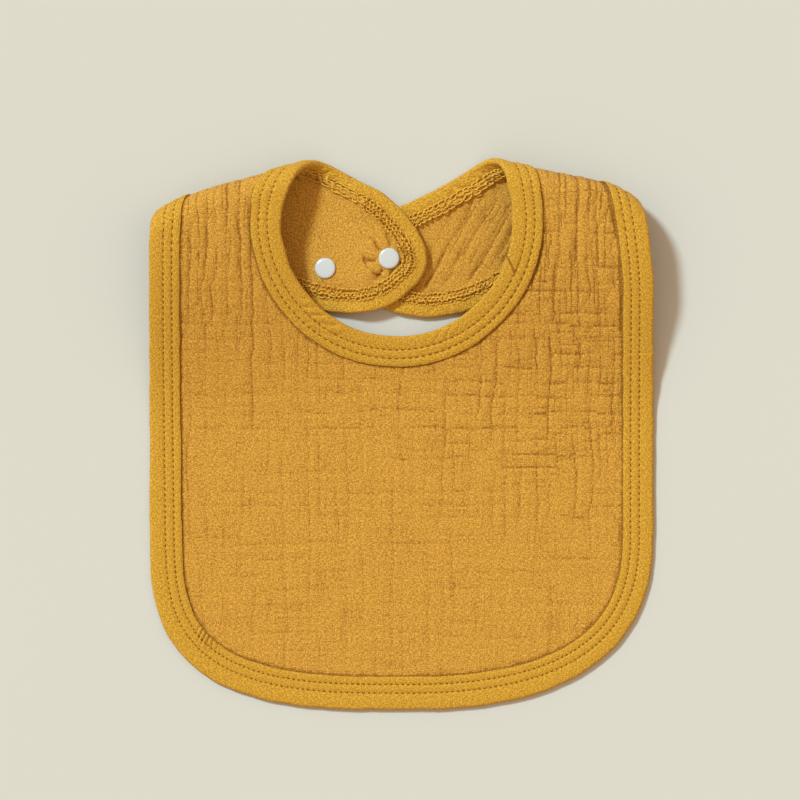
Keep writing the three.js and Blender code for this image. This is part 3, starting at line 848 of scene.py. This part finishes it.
def tape_relief(flat, a, b, s, on_neck):
    """How far the tape's skin stands off its plain section, and how much painted shade it gets in its
    creases and grooves.
    """
    x, y = from_bottom(flat)
    relief, painted_shade = seam_relief(a, s)
    ruffle, ruffle_shade = ruffles(flat, a, s, on_neck)
    lap, lap_shade = neck_lap(a, s, on_neck)
    bunch, bunch_shade = bunched_tape(flat, a, s)
    fuzz = 0.07 * noise(x / 1.5, y / 1.5, SEED + 62) + 0.05 * noise(x / 7, y / 7, SEED + 63)
    relief = relief - ruffle + lap + bunch + fuzz
    for other in (ruffle_shade, lap_shade, bunch_shade):
        painted_shade = np.maximum(painted_shade, other)
    return relief * (np.abs(b) > OUTER_SKIN), painted_shade * (b > 0)


def ring_normals(points):
    """Normals of a grid whose rows are closed rings."""
    onward = np.gradient(points, axis=0)
    around = np.roll(points, -1, axis=1) - np.roll(points, 1, axis=1)
    return unit(np.cross(around, onward) + 1e-12)


def make_tape(name, run):
    """A closed skin swept along a run, whose first and last rows only serve the normals."""
    point, inward, s, rail_mark = run
    section = tape_outline()
    a, b = section[None, :, 0], section[None, :, 1]
    wobble = 0.22 * noise(s / 9, rail_mark * 50.0, SEED + 70)
    wobble += 0.1 * noise(s / 2.6, rail_mark * 50.0, SEED + 71)
    a = a + wobble[:, None]
    spread = lower_spread(point)[:, None] * ramp(a, EDGE_ROUND, STITCH_ROWS[0])
    spread = spread * (1 - rail_mark[:, None])
    flat = point[:, None] + inward[:, None] * (a + spread)[..., None]
    relief, painted_shade = tape_relief(flat, a, b, s[:, None], rail_mark[:, None])
    b = b + relief * np.sign(b)
    points = fold(flat, np.broadcast_to(b, flat.shape[:-1]))
    normals = ring_normals(points)[1:-1]
    points, flat, s, painted_shade = points[1:-1], flat[1:-1], s[1:-1], painted_shade[1:-1]
    faces = grid_faces(*points.shape[:2], closed_columns=True)
    if not faces_up(flat):
        faces, normals = faces[:, ::-1], -normals
    grain = np.stack([np.broadcast_to(s[:, None], flat.shape[:-1]),
                      np.broadcast_to(np.arange(len(section)) * 0.5, flat.shape[:-1])], -1)
    return make_mesh(name, points, faces, normals, grain, painted_shade)


def faces_up(flat):
    """Whether a strip's grid has its face leg's quads turned up, as it travels along the pattern."""
    across = flat[0, 6] - flat[0, 5]
    onward = flat[1, 5] - flat[0, 5]
    return across[0] * onward[1] - across[1] * onward[0] > 0


# ---- Thread ----


def tube_points(rail, s, a, b, radius, sides):
    """Rings round thread paths that run along a rail: s, a and b are paths by rings."""
    point, inward = rail.at(s)
    if rail is OUTER_RAIL:
        a = a + lower_spread(point)
    angles = np.linspace(0, math.tau, sides, endpoint=False)
    aside = a[..., None] + radius[..., None] * np.cos(angles)
    raised = b[..., None] + radius[..., None] * np.sin(angles)
    flat = point[..., None, :] + inward[..., None, :] * aside[..., None]
    return fold(flat, raised)


def tube_mesh(name, rings):
    """One mesh of many tubes, from an array of paths by rings by sides by 3."""
    paths, count, sides, _ = rings.shape
    faces = grid_faces(count, sides, closed_columns=True)
    starts = np.arange(paths)[:, None, None] * count * sides
    return make_mesh(name, rings, (faces[None] + starts).reshape(-1, 4))


def stitches(name, rail, start, end):
    """Two rows of top stitches on the face side of the tape."""
    first, last = sorted((start, end))
    places = np.arange(math.ceil(first / STITCH_PITCH), math.floor(last / STITCH_PITCH)) * STITCH_PITCH
    ring = np.linspace(-1, 1, 7)
    shapes = []
    for row in STITCH_ROWS:
        s = places[:, None] + STITCH_PITCH / 2 + ring * STITCH_HALF
        a = np.full_like(s, row)
        b = np.broadcast_to(TAPE_TOP - STITCH_SUNK - STITCH_SUNK * ring**4, s.shape)
        radius = STITCH_RADIUS * np.sqrt(np.clip(1.08 - ring**4, 0.02, 1))
        shapes.append(tube_points(rail, s, a, b, np.broadcast_to(radius, s.shape), 6))
    return tube_mesh(name, np.concatenate(shapes))


def looper_chain(name, rail, start, end):
    """The looper thread on the back of the tape: uneven loops in columns beside both stitch rows."""
    first, last = sorted((start, end))
    margin = LOOP_RADII[0] + LOOP_THICKNESS / 2
    count = int((last - first - 2 * margin) / LOOP_PITCH)
    places = np.linspace(first + margin, last - margin, count)[:, None]
    turn = np.linspace(0, math.tau, 11)[None, :]
    key = np.floor(places * 10)
    shapes = []
    for number, column in enumerate(LOOP_COLUMNS):
        tilted, longer, wider, onward, inward = (
            lattice(key, key * 0 + number, SEED + 70 + kind) for kind in range(5)
        )
        tilt = (-1) ** number * 0.7 + 0.9 * tilted
        along = LOOP_RADII[0] * (1 + 0.2 * longer) * np.cos(turn)
        across = LOOP_RADII[1] * (1 + 0.2 * wider) * np.sin(turn)
        s = places + 0.4 * onward + along * np.cos(tilt) - across * np.sin(tilt)
        s = np.clip(s + LOOP_PITCH / 2 * (number % 2) - LOOP_PITCH / 4, first, last)
        a = column + 0.35 * inward + along * np.sin(tilt) + across * np.cos(tilt)
        b = -(TAPE_TOP + 0.6 + 0.5 * np.cos(turn + longer))
        thick = np.broadcast_to(LOOP_THICKNESS / 2, s.shape)
        shapes.append(tube_points(rail, s, a, b, thick, 5))
    return tube_mesh(name, np.concatenate(shapes))


# ---- Snaps ----


def turned_part(name, profile, node, sides=48):
    """A smooth part turned about its node's axis. profile is radius and height, from below."""
    rows = np.array(profile, float)
    angles = np.linspace(0, math.tau, sides, endpoint=False)
    ring = np.stack([np.cos(angles), np.sin(angles)], -1)
    points = np.concatenate(
        [rows[:, None, :1] * ring[None], np.broadcast_to(rows[:, None, 1:], (len(rows), sides, 1))], -1
    )
    faces = grid_faces(len(rows), sides, closed_columns=True)
    made = make_mesh(name, points, faces)
    made.data.transform(seat_matrix(node))
    return made


def seat_matrix(node):
    """The place and tilt of a snap: square to the strap's cloth at the snap."""
    seen = centre_of(node)[:2]
    left = node not in ("stud_snap_cap", "snap_stud")
    out, start = (LEFT_OUT, LEFT_START) if left else (RIGHT_OUT, RIGHT_START)
    flat = unfolded(seen, out, start)
    near = np.array([flat, flat + (1, 0), flat + (0, 1)])
    middle, beside, above = fold(near, np.zeros(3))
    normal = unit(np.cross(beside - middle, above - middle))
    normal = normal * np.sign(normal[2])
    turn = Vector((0, 0, 1)).rotation_difference(Vector(normal)).to_matrix().to_4x4()
    return Matrix.Translation(Vector(middle) * MM) @ turn


def flipped(profile):
    return [(radius, -height) for radius, height in reversed(profile)]


CAP_PROFILE = [
    (0.01, -2.2), (1.5, -2.2), (1.66, -2.14), (1.7, -1.98), (1.2, -1.92), (1.2, 0.78), (1.3, 0.86),
    (4.6, 0.88), (5.05, 0.92), (5.28, 1.05), (5.35, 1.28), (5.33, 1.5), (5.22, 1.72), (5.0, 1.93),
    (4.65, 2.1), (4.2, 2.22), (3.6, 2.29), (2.8, 2.33), (1.6, 2.35), (0.01, 2.35),
]
SOCKET_PROFILE = [
    (1.5, -1.7), (2.65, -1.72), (2.8, -1.85), (2.8, -3.05), (2.95, -3.25), (3.2, -3.3), (4.3, -3.3),
    (4.7, -3.2), (4.88, -2.95), (4.9, -2.6), (4.9, -1.3), (4.82, -1.02), (4.6, -0.92), (1.6, -0.92),
    (1.5, -1.0), (1.5, -1.7),
]
STUD_PROFILE = [
    (1.5, -1.5), (1.9, -1.52), (2.0, -1.65), (2.0, -2.75), (2.12, -2.9), (2.35, -2.9), (2.5, -2.75),
    (2.5, -1.85), (2.6, -1.7), (4.5, -1.7), (4.8, -1.62), (4.9, -1.4), (4.88, -1.1), (4.6, -0.92),
    (1.6, -0.92), (1.5, -1.0), (1.5, -1.5),
]


# ---- Materials ----

THREAD_PITCH = 0.55
WEAVE_SPAN = (0.59, 0.43)


class Material:
    """A node material with one principled shader."""

    def __init__(self, name, roughness, sheen=0.0, coat=0.0, specular=0.5):
        self.made = bpy.data.materials.new(name)
        self.made.use_nodes = True
        self.tree = self.made.node_tree
        self.shader = self.tree.nodes["Principled BSDF"]
        values = {"Roughness": roughness, "Sheen Weight": sheen, "Coat Weight": coat}
        for key, value in (values | {"Specular IOR Level": specular}).items():
            self.shader.inputs[key].default_value = value

    def node(self, kind, settings=None, **inputs):
        """A node, with its inputs set or linked by name or by number given as i0, i1 and so on."""
        made = self.tree.nodes.new("ShaderNode" + kind)
        for name, value in (settings or {}).items():
            setattr(made, name, value)
        for name, value in inputs.items():
            numbered = name[0] == "i" and name[1:].isdigit()
            self.set(made.inputs[int(name[1:]) if numbered else name], value)
        return made

    def set(self, socket, value):
        if isinstance(value, bpy.types.Node):
            value = value.outputs[0]
        if isinstance(value, bpy.types.NodeSocket):
            self.tree.links.new(value, socket)
        else:
            socket.default_value = value

    def place(self, scale, turn=0.0):
        """Flat-pattern coordinates in millimetres, turned and scaled."""
        vector = self.node("Attribute", {"attribute_name": "flat"}).outputs["Vector"]
        return self.node("Mapping", i0=vector, i2=(0, 0, turn), i3=scale)

    def noise(self, vector, scale, detail=2.0, roughness=0.5):
        return self.node("TexNoise", Vector=vector, Scale=scale, Detail=detail, Roughness=roughness)

    def mottle(self, scale, detail):
        """Noise in the object's own space, in metres."""
        return self.noise(self.node("TexCoord").outputs["Object"], scale, detail)

    def math(self, operation, a, b=0.0, clamp=False):
        return self.node("Math", {"operation": operation, "use_clamp": clamp}, i0=a, i1=b)

    def finish(self, share, light, dark, height, distance, strength=1.0):
        """Colours the material from light to dark by share, and bumps it by height."""
        mix = self.node("Mix", {"data_type": "RGBA"}, i0=share, i6=(*light, 1), i7=(*dark, 1))
        bump = self.node("Bump", Strength=strength, Distance=distance, Height=height)
        self.set(self.shader.inputs["Base Color"], mix.outputs[2])
        self.set(self.shader.inputs["Normal"], bump)
        return self.made


def woven(mat, turn):
    """The relief of a plain weave with uneven threads, from 0 to 1."""
    fine, long = 1 / THREAD_PITCH, 0.4 / THREAD_PITCH
    along = mat.noise(mat.place((fine, long, 1), turn), 1.0, 1.0)
    across = mat.noise(mat.place((long, fine, 1), turn), 1.0, 1.0)
    fuzz = mat.noise(mat.place((1.2 / THREAD_PITCH, 1.2 / THREAD_PITCH, 1), turn), 1.0, 2.0)
    threads = mat.math("MULTIPLY", mat.math("ADD", along, across), 0.3)
    return mat.math("ADD", threads, mat.math("MULTIPLY", fuzz, 0.4))


def stretched(mat, value, low, high):
    """A value taken from low..high to 0..1."""
    made = mat.node("MapRange", {"interpolation_type": "SMOOTHSTEP"}, i0=value)
    made.inputs["From Min"].default_value = low
    made.inputs["From Max"].default_value = high
    return made


def fine_crease_lines(mat, across, along, width):
    """Thin wandering crease lines that come and go, from 0 off a line to 1 on it: dents for the bump and
    painted shade for the colour.
    """
    field = mat.noise(mat.place((across, along, 1)), 1.0, 2.0, 0.4)
    away = mat.math("ABSOLUTE", mat.math("SUBTRACT", field, 0.5))
    faint = mat.noise(mat.place((0.08, 0.07, 1)), 1.0, 2.0)
    line = stretched(mat, away, width, 0.0)
    return mat.math("MULTIPLY", line, stretched(mat, faint, 0.35, 0.65))


def summed(mat, *weighted):
    """The sum of values times weights, kept within 0 to 1."""
    total = 0.0
    for value, weight in weighted:
        total = mat.math("ADD", mat.math("MULTIPLY", value, weight), total)
    return mat.math("ADD", total, 0.0, True)


def painted_crease_shade(mat):
    """The painted shade of the creases, grooves and edges that the mesh carries, broken up in places."""
    painted_shade = mat.node("Attribute", {"attribute_name": "painted_shade"}).outputs["Fac"]
    broken = mat.noise(mat.place((0.3, 0.3, 1)), 1.0, 2.0)
    patchy_shade = mat.math("MULTIPLY", painted_shade, stretched(mat, broken, 0.15, 0.50))
    return stretched(mat, patchy_shade, 0.08, 0.60)


def muslin(light, dark):
    mat = Material("muslin", 0.92, sheen=0.04, specular=0.25)
    weave = woven(mat, 0.0)
    grain = stretched(mat, weave, *WEAVE_SPAN)
    upright = fine_crease_lines(mat, 0.17, 0.020, 0.020)
    level = fine_crease_lines(mat, 0.026, 0.15, 0.018)
    # The colour darkens with the weave's grain, its own tone, and with painted shade in the mesh's creases
    # and in the fine crease lines.
    share = summed(mat, (grain, 0.70), (painted_crease_shade(mat), 0.54), (upright, 0.14), (level, 0.12))
    relief = summed(mat, (weave, 1.0), (upright, -0.20), (level, -0.18))
    return mat.finish(share, light, dark, relief, 0.0006)


def tape_cloth(light, dark):
    mat = Material("binding_tape", 0.86, sheen=0.04, specular=0.25)
    weave = woven(mat, math.radians(45))
    grain = stretched(mat, weave, *WEAVE_SPAN)
    # The colour darkens with the weave's grain, its own tone, and with painted shade in the tape's creases
    # and stitch grooves.
    share = summed(mat, (grain, 0.74), (painted_crease_shade(mat), 0.90))
    return mat.finish(share, light, dark, weave, 0.0005)


def thread(name, light, dark, sheen):
    mat = Material(name, 0.9, sheen=sheen, specular=0.25)
    twist = mat.mottle(2200.0, 1.0)
    return mat.finish(stretched(mat, twist, 0.35, 0.65), light, dark, twist, 0.00015, 0.6)


def snap_plastic(light, dark):
    mat = Material("snap_plastic", 0.22, coat=0.25)
    mat.shader.inputs["Subsurface Weight"].default_value = 0.1
    mat.shader.inputs["Subsurface Radius"].default_value = (0.001, 0.001, 0.0008)
    mottle = mat.mottle(260.0, 3.0)
    return mat.finish(mottle, light, dark, mottle, 0.00002, 0.3)


def table_finish(light, dark):
    mat = Material("table_paint", 0.85)
    return mat.finish(mat.mottle(3.0, 5.0), light, dark, mat.mottle(700.0, 2.0), 0.0001, 0.1)


# Each cloth's dark tone is reached by its grain and by painted shade in its creases.
MUSLIN = muslin((0.72, 0.386, 0.051), (0.25, 0.099, 0.007))
TAPE_CLOTH = tape_cloth((0.725, 0.412, 0.035), (0.25, 0.106, 0.006))
# The stitch thread is real, but its dark brown, darker than its own mustard, is painted shade of the grooves
# that it lies in.
SHADED_STITCH_THREAD = thread("stitch_thread_painted_shade", (0.24, 0.105, 0.008), (0.12, 0.048, 0.003), 0.0)
CHAIN_THREAD = thread("looper_thread", (0.80, 0.48, 0.065), (0.58, 0.31, 0.030), 0.05)
PLASTIC = snap_plastic((0.56, 0.604, 0.576), (0.52, 0.56, 0.532))
TABLE = table_finish((0.572, 0.578, 0.507), (0.56, 0.565, 0.494))


# ---- Putting it together ----

ROLLS = {"left_roll": "left_strap", "right_roll": "right_strap"}


def carry(piece, region):
    """Makes a region's piece move with its body; the rolls' and the left tab's pieces are baked in place and
    stay there.
    """
    if region in ROLLS:
        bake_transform(piece)
    elif region == "left_tab":
        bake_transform(piece)
    else:
        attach(piece, region)


def dress(piece, mat, region):
    piece.data.materials.append(mat)
    carry(piece, region)
    return piece


def rail_spans():
    """For each region, the stretch of each rail that it covers, from the tip's side inwards."""
    spans = {region: {} for region in REGIONS}
    for name, rail in (("neck", NECK_RAIL), ("outer", OUTER_RAIL)):
        for side, on_left in (("left", True), ("right", False)):
            tip = 0 if on_left else rail.length
            strap_end = rail.crossing(lambda p: past_fold(p) - HALF_TURN, on_left)
            roll_end = rail.crossing(lambda p: wrapped(p) - ROLL_SEAM, on_left)
            if on_left:
                tab_end = rail.crossing(lambda p: past_peel(p) + PEEL_REACH, True)
                spans["left_tab"][name] = (tip, tab_end)
                spans["left_strap"][name] = (tab_end, strap_end)
            else:
                spans["right_strap"][name] = (tip, strap_end)
            spans[f"{side}_roll"][name] = (strap_end, roll_end)
            spans["front"].setdefault(name, []).append(roll_end)
        spans["front"][name] = tuple(spans["front"][name])
    return spans


def make_edges():
    """Every region's tape, top stitches and looper chains."""
    rails = {"neck": NECK_RAIL, "outer": OUTER_RAIL}
    edges = {region: [] for region in REGIONS}
    for region, spans in rail_spans().items():
        runs = {name: run_of(rails[name], *spans[name], TAPE_STEP) for name in rails}
        if region in ("left_tab", "right_strap"):
            back = tuple(part[::-1] for part in runs["neck"])
            tapes = {"tape": joined(back, runs["outer"])}
        else:
            tapes = {f"{name}_tape": run for name, run in runs.items()}
        for name, run in tapes.items():
            tape = make_tape(f"{region}_{name}", run)
            edges[region].append(dress(tape, TAPE_CLOTH, region))
        for name, rail in rails.items():
            if abs(spans[name][1] - spans[name][0]) < SHORTEST_SEWN:
                continue
            sewn = stitches(f"{region}_{name}_stitches", rail, *spans[name])
            edges[region].append(dress(sewn, SHADED_STITCH_THREAD, region))
            chain = looper_chain(f"{region}_{name}_chain", rail, *spans[name])
            edges[region].append(dress(chain, CHAIN_THREAD, region))
    return edges


def make_snaps():
    """The plastic snaps, listed by the region that they are riveted to."""
    made = {}
    for name, profile, node, region in (
        ("spare_cap", CAP_PROFILE, "spare_snap_cap", "left_strap"),
        ("spare_socket", SOCKET_PROFILE, "spare_snap_socket", "left_strap"),
        ("closing_cap", CAP_PROFILE, "closing_snap_cap", "left_tab"),
        ("closing_socket", SOCKET_PROFILE, "closing_snap_socket", "left_tab"),
        ("stud_cap", flipped(CAP_PROFILE), "stud_snap_cap", "right_strap"),
        ("stud", flipped(STUD_PROFILE), "snap_stud", "right_strap"),
    ):
        piece = turned_part(name, profile, node)
        piece.data.materials.append(PLASTIC)
        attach(piece, region)
        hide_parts(node)
        made.setdefault(region, []).append(piece)
    return made


FRONT_TAPES = {"front_neck_tape": "neckline_binding", "front_outer_tape": "outer_edge_binding"}
STRAP_TAPES = ("left_strap_neck_tape", "left_strap_outer_tape", "left_tab_tape", "right_strap_tape")


def replace_nodes():
    """Every solid of cloth or tape gives way to the piece that shows it."""
    for region in ("front", "left_strap", "left_tab", "right_strap"):
        for ply in ("face", "lining"):
            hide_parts(f"{region}_{ply}_fabric")
    for tape, node in FRONT_TAPES.items():
        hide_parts(node)
    for tape in STRAP_TAPES:
        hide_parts(tape.replace("tape", "binding"))


# ---- Stage ----


def make_stage():
    bpy.ops.mesh.primitive_plane_add(size=6)
    table = bpy.context.active_object
    table.name = "table_top"
    table.data.materials.append(TABLE)


VIEW_WIDTH = 410.0
VIEW_MIDDLE = np.array([-0.8, 17.4])
CAMERA_HEIGHT = 6000.0
SENSOR = 36.0
SUN_TRAVEL = (0.5, -0.5, -0.7071)
SUN_SIZE = math.radians(10)
SUN_POWER = 3.05
SUN_COLOUR = (0.772, 0.96, 1.094)
FILL = (0.76, 0.567, 0.431)


def make_camera():
    data = bpy.data.cameras.new("camera")
    data.sensor_width = SENSOR
    data.lens = SENSOR * CAMERA_HEIGHT / VIEW_WIDTH
    camera = link(bpy.data.objects.new("camera", data))
    camera.location = Vector((*VIEW_MIDDLE, CAMERA_HEIGHT)) * MM
    bpy.context.scene.camera = camera


def make_lights():
    data = bpy.data.lights.new("window", "SUN")
    data.energy = SUN_POWER
    data.angle = SUN_SIZE
    data.color = SUN_COLOUR
    sun = link(bpy.data.objects.new("window", data))
    sun.rotation_euler = Vector(SUN_TRAVEL).to_track_quat("-Z", "Y").to_euler()
    world = bpy.data.worlds.new("room")
    world.use_nodes = True
    sky = world.node_tree.nodes["Background"]
    sky.inputs["Color"].default_value = (*FILL, 1.0)
    bpy.context.scene.world = world
    bpy.context.scene.view_settings.view_transform = "Standard"


make_stage()
make_camera()
make_lights()
PLIES, CUTS = make_plies()
EDGES = make_edges()
SNAPS = make_snaps()
replace_nodes()
